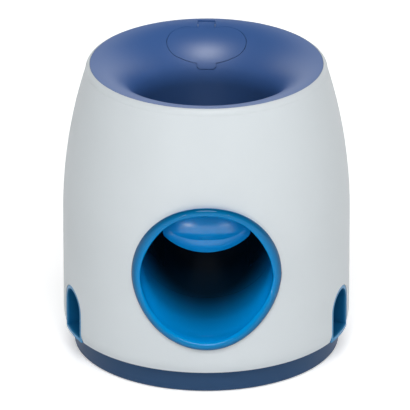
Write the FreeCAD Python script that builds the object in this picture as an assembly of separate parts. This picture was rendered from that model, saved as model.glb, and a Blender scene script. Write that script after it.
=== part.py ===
import FreeCAD, Part
import math
import os

# Ball-and-treat puzzle toy for dogs, in millimetres, +Z up, mouth towards -Y.
# The origin is on the floor under the middle of the base.
# A ball dropped in the funnel falls down the shaft, rolls down the sloping chute and pushes a
# hanging flap. The flap's crank and link turn a dosing drum under the treat hopper, and the
# portion slides round both sides of the chute to the two outlets at the foot of the shell.

os.makedirs("parts", exist_ok=True)
V = FreeCAD.Vector
UP = V(0, 0, 1)
SIDE = V(1, 0, 0)

# Shell
HEIGHT = 180.0
BODY_RADIUS = 86.5
SHELL_WALL = 2.5
SHELL_FOOT_Z = 15.0
SHELL_FOOT_INSET = 1.5
FOOT_ROUND = 7.0
SHOULDER_Z = 85.0
RIM_RADIUS = 69.9
RIM_EDGE = 2.7
RIM_ROUND = 4.0
RIM_GAP = 0.2
LEDGE_DEPTH = 4.0
LEDGE_THICKNESS = 2.0
LEDGE_WIDTH = 2.3

# Funnel
RIM_SLOPE = 5.0
RIM_RUN = 1.0
THROAT_RADIUS = 42.0
DISH_WALL = 2.0
THROAT_LENGTH = 48.0
HOOK_WIDTH = 10.0
HOOK_WALL = 2.0
HOOK_REACH = 1.7

# Treat hatch in the funnel: its rear edge is drawn in plan, its front edge with the tab on a
# plane through its two ends, so that the lid lifts out of it on its hinge. Runs are counted
# forwards from the rear edge, and back from the front edge.
HATCH_INSET = 8.9
HATCH_HALF_WIDTH = 24.2
HATCH_BACK = 12.0
HATCH_SWELL = (20.6, 5.2)
HATCH_SIDE_RUN = 12.4
HATCH_FRONT_GAP = 0.9
HATCH_SIDE = 12.5
HATCH_TURN = (22.9, 7.1)
HATCH_KNEE = (16.0, 2.25)
HATCH_DROP = 0.75
TAB_HALF_WIDTH = 6.0
TAB_LENGTH = 3.3
TAB_TAPER = 1.4
LID_GAP = 0.3
LID_THICKNESS = 1.7
SEAT_WIDTH = 2.0
SEAT_THICKNESS = 1.6
LID_PIN_INSET = 4.4
LID_PIN_RADIUS = 0.8
KNUCKLE_RADIUS = 2.0
KNUCKLE_HALF = 5.0
EAR_RADIUS = 2.2
EAR_LENGTH = 3.8

# Ball chute
MOUTH_Z = 76.4
CHUTE_SLOPE = 16.0
CHUTE_BORE = 39.0
CHUTE_WALL = 2.0
MOUTH_TUBE_LENGTH = 30.0
SOCKET_LENGTH = 6.0
SOCKET_START = 14.0

# Mouth: a level oval in front view that blends into the sloping chute behind it
OVAL_Z = 76.9
OVAL_HALF_WIDTH = 39.7
OVAL_HALF_HEIGHT = 41.0
OVAL_WALL = 2.8
OVAL_RUN = 1.96
BLEND_LENGTH = 15.0
LIP_WIDTH = 5.2
LIP_HEIGHT = 2.6
LIP_SEAT = 0.1
LIP_ROUND = 2.0

# Shaft
SHAFT_TAPER_Z = 112.0
SHAFT_SOCKET_LENGTH = 13.0

# Running and assembly clearances
FIT_GAP = 0.3
PRESS_GAP = 0.02
RUN_GAP = 0.05
SIDE_GAP = 0.4

# Trigger flap, its axle, cranks and link
FLAP_SETBACK = 39.5
FLAP_Z = 120.0
FLAP_RADIUS = 34.0
FLAP_DROP = 44.5
FLAP_ARC = 52.0
FLAP_SHOULDER_X = 20.5
FLAP_SHOULDER_DROP = 8.5
FLAP_BULGE = 0.9
FLAP_PLATE = 2.5
FLAP_CROWN = 6.5
FLAP_CROWN_RADIUS = 70.0
FLAP_RIM = 5.0
BARREL_RADIUS = 4.0
BARREL_HALF = 14.0
FLAP_AXLE_RADIUS = 1.5
BOSS_RADIUS = 4.5
BOSS_END = 37.5
BUSH_WALL = 1.2
BUSH_LENGTH = 6.0
BUSH_FLANGE = 0.8
CRANK_RADIUS = 12.0
CRANK_THICKNESS = 3.0
CRANK_HUB = 5.0
PEG_RADIUS = 2.0
LINK_THICKNESS = 2.5
LINK_EYE = 4.0
LINK_WIDTH = 5.0
CLIP_THICKNESS = 0.8
CLIP_WALL = 1.6
AXLE_TAIL = 0.6
STOP_HEIGHT = 5.0
STOP_Z = 103.0
STOP_INNER = 21.0

# Dosing drum and its housing
DRUM_DROP = 10.0
DRUM_HALF = 27.0
DRUM_CLEARANCE = 0.5
DRUM_HUB = 4.5
DRUM_WEB = 1.5
POCKET_START = -20.0
POCKET_END = 70.0
DRUM_AXLE_RADIUS = 2.0
HOUSING_FRONT_SPACE = 2.5
HOUSING_BACK_SPACE = 10.5
HOUSING_WALL = 2.0
HOUSING_END_WALL = 3.7
HOUSING_NECK = 1.0
THROAT_FRONT = 4.5
THROAT_BACK = 6.5
FLANGE_THICKNESS = 2.0
FLANGE_REACH = 6.0
FLANGE_FRONT = 10.0
FLANGE_BACK_INSET = 3.0

# Treat hopper
HOPPER_FRONT_GAP = 1.0
HOPPER_HALF_WIDTH = 37.0
HOPPER_WALL = 2.0
HOPPER_WAIST_Z = 122.0
HOPPER_BACK_GAP = 1.2
HOPPER_TOP_GAP = 0.9
BRACKET_X = 18.0
BRACKET_Z = 128.0
BRACKET_RADIUS = 3.6

# Treat slides, outlets and splitter
SLIDE_TOP_Z = 55.0
SLIDE_TOP_Y = 62.0
SLIDE_SLOPE = 17.0
SLIDE_HEADING = 49.5
SLIDE_FLOOR = 2.0
SLIDE_WALL = 1.8
SLIDE_RAIL = 10.0
SLIDE_RAIL_TOP_Z = 61.0
SLIDE_INNER_GAP = 3.0
SLIDE_SETBACK = 39.5
SPLITTER_HALF_WIDTH = 8.0
SPLITTER_HEIGHT = 6.0
OUTLET_AZIMUTH = 70.0
OUTLET_WIDTH = 27.0
OUTLET_TOP_Z = 46.5
OUTLET_WALL = 2.0
OUTLET_DEPTH = 9.5
OUTLET_FLANGE = 2.0
OUTLET_FLANGE_THICKNESS = 2.4
OUTLET_GAP = 0.3

# Base, anti-slip ring and screws
BASE_GAP = 0.2
BASE_TAPER = 2.3
BASE_LIFT = 0.5
BASE_WALL = 2.3
BASE_FLOOR_Z = 3.0
BASE_FLOOR = 2.5
BASE_SPIGOT = 4.0
BASE_ROUND = 0.7
RING_INSET = 2.0
RING_WIDTH = 4.5
RING_LAND = 2.5
RING_THICKNESS = 2.5
RING_GAP = 0.1
SCREW_RADIUS = 1.5
SCREW_HEAD_RADIUS = 3.0
SCREW_HEAD = 2.0
SCREW_LENGTH = 14.0
SCREW_SLOT = 0.9
POST_RADIUS = 4.5
SHELL_BOSS_INSET = 20.5
SHELL_BOSS_HEIGHT = 28.0
SHELL_BOSS_AZIMUTHS = (38.0, 142.0, 218.0, 322.0)
CHUTE_LEGS = ((20.0, -18.0), (-20.0, -18.0), (0.0, 25.0))
SLIDE_LEG_INSET = 13.5
SLIDE_LEG_AZIMUTHS = (164.0, 116.5, 81.0)

FAR = 400.0
slope = math.radians(CHUTE_SLOPE)
beta = math.radians(RIM_SLOPE)
shell_foot_radius = BODY_RADIUS - SHELL_FOOT_INSET
shell_boss_at = BODY_RADIUS - SHELL_BOSS_INSET
base_top_radius = shell_foot_radius - SHELL_WALL - BASE_GAP
base_foot_radius = base_top_radius - BASE_TAPER
ring_outer = base_foot_radius - RING_INSET
ring_inner = ring_outer - RING_WIDTH
base_recess_radius = ring_inner - RING_LAND
lip_side_y = -math.sqrt((BODY_RADIUS + LIP_HEIGHT) ** 2 - (OVAL_HALF_WIDTH + LIP_WIDTH) ** 2)
oval_end_y = lip_side_y + OVAL_RUN
blend_end_y = oval_end_y + BLEND_LENGTH
flap_y = FLAP_SETBACK - BODY_RADIUS
outlet_back = BODY_RADIUS - OUTLET_DEPTH
rim_shoulder_z = HEIGHT - RIM_ROUND
ledge_top = HEIGHT - LEDGE_DEPTH
ledge_bottom = ledge_top - LEDGE_THICKNESS
ledge_radius = RIM_RADIUS + RIM_GAP - LEDGE_WIDTH
throat_end = HEIGHT - THROAT_LENGTH
hatch_y = RIM_RADIUS - HATCH_INSET
pin_y = RIM_RADIUS - LID_PIN_INSET
chute_outer = CHUTE_BORE + CHUTE_WALL
collar_in = THROAT_RADIUS + DISH_WALL + FIT_GAP
collar_out = collar_in + CHUTE_WALL
housing_room = BODY_RADIUS - SHELL_WALL - chute_outer
housing_radius = (housing_room - HOUSING_FRONT_SPACE - HOUSING_BACK_SPACE) / 2
housing_bore = housing_radius - HOUSING_WALL
drum_radius = housing_bore - DRUM_CLEARANCE
drum_y = chute_outer + HOUSING_FRONT_SPACE + housing_radius
drum_z = SLIDE_TOP_Z + DRUM_DROP + housing_radius
throat_front_y = drum_y - THROAT_FRONT
throat_back_y = drum_y + THROAT_BACK
flange_front_y = drum_y - FLANGE_FRONT
flange_back_y = drum_y + housing_radius - FLANGE_BACK_INSET
housing_top = drum_z + housing_radius + HOUSING_NECK
hopper_front_y = collar_out + HOPPER_FRONT_GAP
slide_inner_radius = chute_outer + SLIDE_INNER_GAP


def save(name, shape):
    """Write one piece and print what it holds."""
    shape = shape.removeSplitter()
    if not shape.isValid():
        print("NOT VALID", name)
    shape.exportStep("parts/%s.step" % name)
    print("%-22s solids %d volume %.1f" % (name, len(shape.Solids), shape.Volume))


def line(a, b):
    return Part.LineSegment(V(*a), V(*b)).toShape()


def arc(a, b, c):
    return Part.Arc(V(*a), V(*b), V(*c)).toShape()


def rz(radius, z):
    """Point of a profile in the XZ plane, which is turned about Z."""
    return (radius, 0.0, z)


def turned(edges):
    """Solid of revolution about Z from the closed profile that the edges make."""
    wire = Part.Wire(Part.__sortEdges__(edges))
    return Part.Face(wire).revolve(V(0, 0, 0), UP, 360)


def turned_polygon(points):
    corners = [V(r, 0, z) for r, z in points]
    face = Part.Face(Part.makePolygon(corners + corners[:1]))
    return face.revolve(V(0, 0, 0), UP, 360)


def rod(radius, start, end):
    """Cylinder between two points."""
    start = V(*start)
    along = V(*end) - start
    return Part.makeCylinder(radius, along.Length, start, along)


def x_rod(radius, x0, x1, y, z):
    return rod(radius, (x0, y, z), (x1, y, z))


def block(x0, x1, y0, y1, z0, z1):
    return Part.makeBox(x1 - x0, y1 - y0, z1 - z0, V(x0, y0, z0))


def x_plate(points, x0, x1):
    """Plate with the (y, z) outline, from x0 to x1."""
    corners = [V(x0, y, z) for y, z in points]
    face = Part.Face(Part.makePolygon(corners + corners[:1]))
    return face.extrude(V(x1 - x0, 0, 0))


def mirrored(shape):
    return shape.mirror(V(0, 0, 0), SIDE)


def fuse_all(shapes):
    return shapes[0].multiFuse(shapes[1:])


def shoulder_arc():
    """Radius of the side-view arc that leans in from the straight wall to the rim."""
    rise = rim_shoulder_z - SHOULDER_Z
    inset = BODY_RADIUS - RIM_RADIUS - RIM_EDGE
    return (rise * rise + inset * inset) / (2.0 * inset)


def shell_radius(z):
    """Outer radius of the shell at height z, above its rounded foot."""
    if z <= SHOULDER_Z:
        return BODY_RADIUS
    big = shoulder_arc()
    return BODY_RADIUS - big + math.sqrt(big * big - (z - SHOULDER_Z) ** 2)


def chute_axis_z(y):
    """Height of the sloping chute's axis at y."""
    return MOUTH_Z + (y + BODY_RADIUS) * math.tan(slope)


def chute_point(distance):
    """Point on the chute's axis, a distance behind the mouth."""
    y = -BODY_RADIUS + distance * math.cos(slope)
    return V(0, y, chute_axis_z(y))


def chute_rod(radius, start, end):
    """Cylinder on the chute's axis between two distances behind the mouth."""
    a = chute_point(start)
    return Part.makeCylinder(radius, end - start, a, chute_point(end) - a)


def oval_wire(half_width, half_height, y, z):
    """Upright oval about (0, y, z)."""
    oval = Part.Ellipse(V(0, y, z + half_height), V(half_width, y, z), V(0, y, z))
    return Part.Wire(oval.toShape())


def mouth_oval(grow, y):
    return oval_wire(OVAL_HALF_WIDTH + grow, OVAL_HALF_HEIGHT + grow, y, OVAL_Z)


def mouth_bar(grow, y0, y1):
    """Level bar with the mouth's oval, grown by an offset, between two y values."""
    return Part.Face(mouth_oval(grow, y0)).extrude(V(0, y1 - y0, 0))


def mouth_blend(grow, radius):
    """Bar from the grown oval to the upright section of a chute of the given radius."""
    section = oval_wire(radius, radius / math.cos(slope), blend_end_y, chute_axis_z(blend_end_y))
    return Part.makeLoft([mouth_oval(grow, oval_end_y), section], True, True)


def bored(length):
    """Screw's pilot hole, standing at the origin."""
    return Part.makeCylinder(SCREW_RADIUS + RUN_GAP, length)


def screw(tip_length):
    """Pan-head screw with a cross slot, head down, the head's seat at the origin."""
    shank = Part.makeCylinder(SCREW_RADIUS, tip_length)
    head = Part.makeCylinder(SCREW_HEAD_RADIUS, SCREW_HEAD, V(0, 0, -SCREW_HEAD))
    rims = [e for e in head.Edges if abs(e.BoundBox.ZMax + SCREW_HEAD) < 1e-6 and len(e.Vertexes) == 1]
    head = head.makeFillet(SCREW_HEAD_RADIUS * 0.2, rims)
    half = SCREW_HEAD_RADIUS * 0.65
    arm = SCREW_SLOT / 2
    floor = -SCREW_HEAD + SCREW_SLOT
    cross = block(-half, half, -arm, arm, -SCREW_HEAD - 1, floor)
    cross = cross.fuse(block(-arm, arm, -half, half, -SCREW_HEAD - 1, floor))
    return shank.fuse(head).cut(cross)


def placed(shape, x, y, z):
    shape = shape.copy()
    shape.translate(V(x, y, z))
    return shape


def polar(radius, azimuth):
    """Point at an azimuth counted from the front towards +X."""
    a = math.radians(azimuth)
    return (radius * math.sin(a), -radius * math.cos(a))


# White outer shell: one tall moulding with the mouth hole, two outlet notches, a ledge for the
# funnel and four screw bosses on ribs
def outlet_arch(grow, r0, r1, z0):
    """Arched bar through an outlet at azimuth 0 turned to OUTLET_AZIMUTH, grown all round."""
    half = OUTLET_WIDTH / 2 + grow
    centre_z = OUTLET_TOP_Z - OUTLET_WIDTH / 2
    straight = block(-half, half, -r1, -r0, z0, centre_z)
    top = rod(half, (0, -r1, centre_z), (0, -r0, centre_z))
    arch = straight.fuse(top)
    arch.rotate(V(0, 0, 0), UP, OUTLET_AZIMUTH)
    return arch


def shell_profile():
    """Closed profile of the shell's wall and ledge."""
    foot_top = SHELL_FOOT_Z + FOOT_ROUND
    foot_mid_r = BODY_RADIUS - (BODY_RADIUS - shell_foot_radius) * 0.27
    foot_mid_z = SHELL_FOOT_Z + FOOT_ROUND * 0.45
    inner = BODY_RADIUS - SHELL_WALL
    rim_in = RIM_RADIUS + RIM_GAP
    top_r = shell_radius(rim_shoulder_z)
    mid_z = (SHOULDER_Z + rim_shoulder_z) / 2
    inner_mid_z = (SHOULDER_Z + ledge_bottom) / 2
    round_r = rim_in + (top_r - rim_in) * 0.72
    round_z = HEIGHT - RIM_ROUND * 0.3
    crown_r = rim_in + 0.4
    return [
        line(rz(shell_foot_radius - SHELL_WALL, SHELL_FOOT_Z), rz(shell_foot_radius, SHELL_FOOT_Z)),
        arc(rz(shell_foot_radius, SHELL_FOOT_Z), rz(foot_mid_r, foot_mid_z), rz(BODY_RADIUS, foot_top)),
        line(rz(BODY_RADIUS, foot_top), rz(BODY_RADIUS, SHOULDER_Z)),
        arc(rz(BODY_RADIUS, SHOULDER_Z), rz(shell_radius(mid_z), mid_z), rz(top_r, rim_shoulder_z)),
        arc(rz(top_r, rim_shoulder_z), rz(round_r, round_z), rz(crown_r, HEIGHT)),
        line(rz(crown_r, HEIGHT), rz(rim_in, HEIGHT)),
        line(rz(rim_in, HEIGHT), rz(rim_in, ledge_top)),
        line(rz(rim_in, ledge_top), rz(ledge_radius, ledge_top)),
        line(rz(ledge_radius, ledge_top), rz(ledge_radius, ledge_bottom)),
        line(rz(ledge_radius, ledge_bottom), rz(shell_radius(ledge_bottom) - SHELL_WALL, ledge_bottom)),
        arc(rz(shell_radius(ledge_bottom) - SHELL_WALL, ledge_bottom),
            rz(shell_radius(inner_mid_z) - SHELL_WALL, inner_mid_z), rz(inner, SHOULDER_Z)),
        line(rz(inner, SHOULDER_Z), rz(inner, foot_top)),
        line(rz(inner, foot_top), rz(shell_foot_radius - SHELL_WALL, SHELL_FOOT_Z)),
    ]


def outer_shell():
    shell = turned(shell_profile())
    inner = BODY_RADIUS - SHELL_WALL
    floor_top = BASE_FLOOR_Z + BASE_FLOOR
    spigot_top = SHELL_FOOT_Z + BASE_SPIGOT
    for azimuth in SHELL_BOSS_AZIMUTHS:
        x, y = polar(shell_boss_at, azimuth)
        boss = Part.makeCylinder(POST_RADIUS, SHELL_BOSS_HEIGHT, V(x, y, floor_top))
        rib_low = spigot_top + FIT_GAP
        rib = block(shell_boss_at, inner + 0.5, -1, 1, rib_low, floor_top + SHELL_BOSS_HEIGHT)
        rib.rotate(V(0, 0, 0), UP, azimuth - 90)
        shell = fuse_all([shell, boss, rib])
        shell = shell.cut(placed(bored(SCREW_LENGTH + 1), x, y, floor_top))
    shell = shell.cut(mouth_bar(OVAL_WALL + FIT_GAP, -FAR, -BODY_RADIUS / 2))
    notch = outlet_arch(OUTLET_GAP, outlet_back, BODY_RADIUS + 1, SHELL_FOOT_Z - 1)
    shell = shell.cut(notch).cut(mirrored(notch))
    ear_end = KNUCKLE_HALF + LID_GAP * 2 + EAR_LENGTH + FIT_GAP
    ear_back = pin_y + EAR_RADIUS + FIT_GAP
    return shell.cut(block(-ear_end, ear_end, hatch_y, ear_back, ledge_bottom - 1, HEIGHT))


# Dark blue funnel: a bell that turns from the rim down into the throat collar in one large
# round, with the hatch opening at the back, its seat, two hinge ears and three snap hooks
bell_round = (RIM_RADIUS - RIM_RUN - THROAT_RADIUS) / (1 - math.sin(beta))
bell_x = THROAT_RADIUS + bell_round
bell_z = HEIGHT - RIM_RUN * math.tan(beta) - bell_round * math.cos(beta)


def dish_z(radius, depth=0.0):
    """Height of the bell outside the throat, or of the surface a depth below its face."""
    bend = bell_round - depth
    if radius < bell_x - bend * math.sin(beta):
        return bell_z + math.sqrt(bend ** 2 - (bell_x - radius) ** 2)
    return HEIGHT - (RIM_RADIUS - radius) * math.tan(beta) - depth / math.cos(beta)


def bell_arc(depth):
    """Round of the bell a depth below its face, with its two ends (radius, z)."""
    bend = bell_round - depth
    lean = (math.radians(90) + beta) / 2
    tangent = (bell_x - bend * math.sin(beta), bell_z + bend * math.cos(beta))
    middle = (bell_x - bend * math.sin(lean), bell_z + bend * math.cos(lean))
    wall = (THROAT_RADIUS + depth, bell_z)
    return arc(rz(*tangent), rz(*middle), rz(*wall)), tangent, wall


def dish_layer(low, high, end_z=throat_end):
    """Funnel wall between two depths below its visible face, down to end_z."""
    edges = []
    for depth in (low, high):
        bell, tangent, wall = bell_arc(depth)
        edges.append(line(rz(RIM_RADIUS, dish_z(RIM_RADIUS, depth)), rz(*tangent)))
        edges.append(bell)
        edges.append(line(rz(*wall), rz(wall[0], end_z)))
    edges.append(line(rz(RIM_RADIUS, dish_z(RIM_RADIUS, low)), rz(RIM_RADIUS, dish_z(RIM_RADIUS, high))))
    edges.append(line(rz(THROAT_RADIUS + low, end_z), rz(THROAT_RADIUS + high, end_z)))
    return turned(edges)


hatch_z = dish_z(hatch_y)
hatch_fall = hatch_z - dish_z(THROAT_RADIUS + HATCH_FRONT_GAP)
hatch_run = hatch_y - THROAT_RADIUS - HATCH_FRONT_GAP
hatch_lean = math.atan2(hatch_fall, hatch_run)
tab_end = math.hypot(hatch_fall, hatch_run)
hatch_end = tab_end - TAB_LENGTH
pin_z = dish_z(pin_y, KNUCKLE_RADIUS)
layer_end = bell_z - 1


def outline_bar(edges, grow, along):
    """Bar of a flat outline, grown by an offset, that reaches both ways along a vector."""
    face = Part.Face(Part.Wire(Part.__sortEdges__(edges)))
    if grow:
        face = Part.Face(face.makeOffset2D(grow, join=0).Wires[0])
    face.translate(-along)
    return face.extrude(along * 2)


def hatch_rear(grow):
    """Upright bar with the hatch's rear edge and sides in plan, left long at the front."""
    wide = HATCH_HALF_WIDTH
    edges = [line((-HATCH_BACK, hatch_y, 0), (HATCH_BACK, hatch_y, 0)), line((-wide, 0, 0), (wide, 0, 0))]
    for side in (1, -1):
        corner = (side * HATCH_BACK, hatch_y, 0)
        swell = (side * HATCH_SWELL[0], hatch_y - HATCH_SWELL[1], 0)
        edge = (side * wide, hatch_y - HATCH_SIDE_RUN, 0)
        edges.append(arc(corner, swell, edge))
        edges.append(line(edge, (side * wide, 0, 0)))
    return outline_bar(edges, grow, V(0, 0, HEIGHT + 1))


def hatch_front(grow):
    """Bar square to the hatch's plane with its front edge and tab, left long at the rear."""
    def at(x, t):
        return (x, hatch_y - t * math.cos(hatch_lean), hatch_z - t * math.sin(hatch_lean))
    wide = HATCH_HALF_WIDTH
    tab_tip = TAB_HALF_WIDTH - TAB_TAPER
    near_tab = (TAB_HALF_WIDTH + HATCH_KNEE[0]) / 2
    edges = [line(at(-wide, -hatch_end), at(wide, -hatch_end))]
    edges.append(line(at(-tab_tip, tab_end), at(tab_tip, tab_end)))
    for side in (1, -1):
        edge = at(side * wide, hatch_end - HATCH_SIDE)
        turn = at(side * HATCH_TURN[0], hatch_end - HATCH_TURN[1])
        knee = at(side * HATCH_KNEE[0], hatch_end - HATCH_KNEE[1])
        tab_root = at(side * TAB_HALF_WIDTH, hatch_end)
        tab_knee = at(side * TAB_HALF_WIDTH, tab_end - TAB_TAPER)
        edges.append(line(at(side * wide, -hatch_end), edge))
        edges.append(arc(edge, turn, knee))
        edges.append(arc(knee, at(side * near_tab, hatch_end - HATCH_DROP), tab_root))
        edges.append(line(tab_root, tab_knee))
        edges.append(line(tab_knee, at(side * tab_tip, tab_end)))
    return outline_bar(edges, grow, V(0, -math.sin(hatch_lean), math.cos(hatch_lean)) * (hatch_end / 2))


def hatch_bar(grow):
    """What lies inside the hatch's edge, grown by an offset."""
    return hatch_rear(grow).common(hatch_front(grow))


def top_funnel():
    wall = dish_layer(0, DISH_WALL)
    rim = turned_polygon([
        (ledge_radius, dish_z(ledge_radius, DISH_WALL * 0.5)),
        (RIM_RADIUS, dish_z(RIM_RADIUS, DISH_WALL * 0.5)),
        (RIM_RADIUS, ledge_top),
        (ledge_radius, ledge_top),
    ])
    hooks = []
    hook_out = ledge_radius - FIT_GAP
    lug_top = ledge_bottom - FIT_GAP
    for azimuth in (90, 270, 0):
        half = HOOK_WIDTH / 2
        stem_top = dish_z(hook_out, DISH_WALL / 2)
        lug_low = lug_top - HOOK_WALL
        stem = block(-half, half, -hook_out, HOOK_WALL - hook_out, lug_low, stem_top)
        lug = [(-hook_out, lug_top), (-hook_out - HOOK_REACH, lug_top), (-hook_out, lug_low)]
        lug = x_plate(lug, -half, half)
        hook = stem.fuse(lug)
        hook.rotate(V(0, 0, 0), UP, azimuth)
        hooks.append(hook)
    ears = []
    ear_start = KNUCKLE_HALF + LID_GAP * 2
    for side in (1, -1):
        x0 = side * ear_start
        x1 = side * (ear_start + EAR_LENGTH)
        ears.append(x_rod(EAR_RADIUS, min(x0, x1), max(x0, x1), pin_y, pin_z))
    ear_pair = fuse_all(ears).common(dish_layer(0, KNUCKLE_RADIUS * 2.4))
    seat_zone = hatch_bar(SEAT_WIDTH).cut(hatch_bar(-SEAT_WIDTH))
    seat = dish_layer(DISH_WALL, DISH_WALL + SEAT_THICKNESS, layer_end).common(seat_zone)
    seat = seat.cut(block(-HATCH_BACK, HATCH_BACK, hatch_y - SEAT_WIDTH * 2, FAR, 0, FAR))
    seat = seat.common(Part.makeCylinder(ledge_radius - FIT_GAP, HEIGHT))
    funnel = fuse_all([fuse_all([wall, rim] + hooks).cut(hatch_bar(0)), seat])
    slot_half = KNUCKLE_HALF + LID_GAP
    slot = block(-slot_half, slot_half, hatch_y - 1, pin_y + KNUCKLE_RADIUS + LID_GAP, 0, FAR)
    slot = slot.common(dish_layer(-1, KNUCKLE_RADIUS * 3, layer_end))
    funnel = funnel.cut(slot).fuse(ear_pair)
    pin_reach = ear_start + EAR_LENGTH + 1
    return funnel.cut(x_rod(LID_PIN_RADIUS + PRESS_GAP, -pin_reach, pin_reach, pin_y, pin_z))


def treat_lid():
    plate = dish_layer(0, LID_THICKNESS, layer_end).common(hatch_bar(-LID_GAP))
    knuckle = x_rod(KNUCKLE_RADIUS, -KNUCKLE_HALF, KNUCKLE_HALF, pin_y, pin_z)
    tongue = dish_layer(0, DISH_WALL, layer_end)
    tongue = tongue.common(block(-KNUCKLE_HALF, KNUCKLE_HALF, hatch_y - 2, pin_y, 0, FAR))
    lid = fuse_all([plate, tongue, knuckle.common(dish_layer(0, KNUCKLE_RADIUS * 2.4))])
    return lid.cut(x_rod(LID_PIN_RADIUS + RUN_GAP, -KNUCKLE_HALF - 1, KNUCKLE_HALF + 1, pin_y, pin_z))


def lid_hinge_pin():
    reach = KNUCKLE_HALF + LID_GAP * 2 + EAR_LENGTH
    return x_rod(LID_PIN_RADIUS, -reach, reach, pin_y, pin_z)


# Bright blue mouth tube: pushed in from the front, with a rounded lip that follows the shell
def mouth_tube():
    front = BODY_RADIUS + LIP_HEIGHT
    face = Part.makeCylinder(front, FAR)
    lip = mouth_bar(LIP_WIDTH, -FAR, oval_end_y / 2).common(face)
    lip = lip.cut(Part.makeCylinder(BODY_RADIUS + LIP_SEAT, FAR))
    neck = mouth_bar(OVAL_WALL, -FAR, oval_end_y).common(face)
    pipe = chute_rod(chute_outer, SOCKET_START, MOUTH_TUBE_LENGTH)
    pipe = pipe.common(Part.makeCylinder(BODY_RADIUS - SHELL_WALL - FIT_GAP, FAR))
    tube = fuse_all([lip, neck, mouth_blend(OVAL_WALL, chute_outer - FIT_GAP), pipe])
    tube = tube.common(chute_rod(FAR / 2, -FAR / 2, MOUTH_TUBE_LENGTH))
    bore = chute_rod(CHUTE_BORE, SOCKET_START, FAR / 2)
    void = fuse_all([mouth_bar(0, -FAR, oval_end_y), mouth_blend(0, CHUTE_BORE), bore])
    tube = tube.cut(void).removeSplitter()
    rims = []
    for edge in tube.Edges:
        p = edge.valueAt((edge.FirstParameter + edge.LastParameter) / 2)
        if abs(math.hypot(p.x, p.y) - front) < 0.01:
            rims.append(edge)
    return tube.makeFillet(LIP_ROUND, rims)


# Bright blue chute elbow: sloping pipe, upright shaft and funnel socket in one moulding
def chute_plan(radius, top):
    """Upright bar with the chute's plan: straight sides in front, round at the back."""
    return block(-radius, radius, -FAR / 2, 0, 0, top).fuse(Part.makeCylinder(radius, top))


def chute_elbow():
    bore = CHUTE_BORE
    outer = chute_outer
    joint = MOUTH_TUBE_LENGTH
    shaft_top = throat_end + SHAFT_SOCKET_LENGTH
    sleeve_in = outer + FIT_GAP
    step = throat_end - 0.5
    low = chute_axis_z(0) - CHUTE_WALL
    pipe = chute_rod(outer, joint, FAR / 2).common(chute_plan(outer, shaft_top))
    sleeve = chute_rod(sleeve_in + CHUTE_WALL, joint - SOCKET_LENGTH, joint + CHUTE_WALL)
    shaft = turned_polygon([
        (0, low), (outer, low), (outer, SHAFT_TAPER_Z),
        (THROAT_RADIUS + CHUTE_WALL, step - CHUTE_WALL), (collar_out, step - CHUTE_WALL),
        (collar_out, shaft_top), (0, shaft_top),
    ])
    bosses = x_rod(BOSS_RADIUS, -BOSS_END, BOSS_END, flap_y, FLAP_Z)
    brackets = []
    for side in (1, -1):
        x = side * BRACKET_X
        brackets.append(rod(BRACKET_RADIUS, (x, bore / 2, BRACKET_Z), (x, hopper_front_y, BRACKET_Z)))
    floor_top = BASE_FLOOR_Z + BASE_FLOOR
    legs = []
    for x, y in CHUTE_LEGS:
        legs.append(Part.makeCylinder(POST_RADIUS, chute_axis_z(y) - floor_top, V(x, y, floor_top)))
    solid = fuse_all([pipe, sleeve, shaft, bosses] + brackets + legs)
    pipe_void = chute_rod(bore, joint - SOCKET_LENGTH - 1, FAR / 2).common(chute_plan(bore, shaft_top))
    socket_void = chute_rod(sleeve_in, joint - SOCKET_LENGTH - 1, joint)
    shaft_void = turned_polygon([
        (0, low), (bore, low), (bore, SHAFT_TAPER_Z), (THROAT_RADIUS, step), (collar_in, step),
        (collar_in, shaft_top + 1), (0, shaft_top + 1),
    ])
    solid = solid.cut(fuse_all([pipe_void, socket_void, shaft_void]))
    ribs = []
    for side in (1, -1):
        x0 = side * STOP_INNER
        x1 = side * bore
        rib = block(min(x0, x1), max(x0, x1), flap_y + FIT_GAP, flap_y + FIT_GAP + 2.5,
                    STOP_Z, STOP_Z + STOP_HEIGHT)
        ribs.append(rib.common(chute_rod(bore + CHUTE_WALL / 2, joint, FAR / 2)))
    solid = fuse_all([solid] + ribs)
    bush_outer = FLAP_AXLE_RADIUS + RUN_GAP + BUSH_WALL
    reach = BOSS_END + 1
    solid = solid.cut(x_rod(FLAP_AXLE_RADIUS + FIT_GAP, -reach, reach, flap_y, FLAP_Z))
    for side in (1, -1):
        x0 = side * (BOSS_END - BUSH_LENGTH)
        x1 = side * reach
        solid = solid.cut(x_rod(bush_outer + PRESS_GAP, min(x0, x1), max(x0, x1), flap_y, FLAP_Z))
        x = side * BRACKET_X
        hole_start = hopper_front_y - SCREW_LENGTH / 2
        solid = solid.cut(rod(SCREW_RADIUS + RUN_GAP, (x, hole_start, BRACKET_Z), (x, FAR, BRACKET_Z)))
    for x, y in CHUTE_LEGS:
        solid = solid.cut(placed(bored(SCREW_LENGTH + 1), x, y, floor_top))
    return solid


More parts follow.
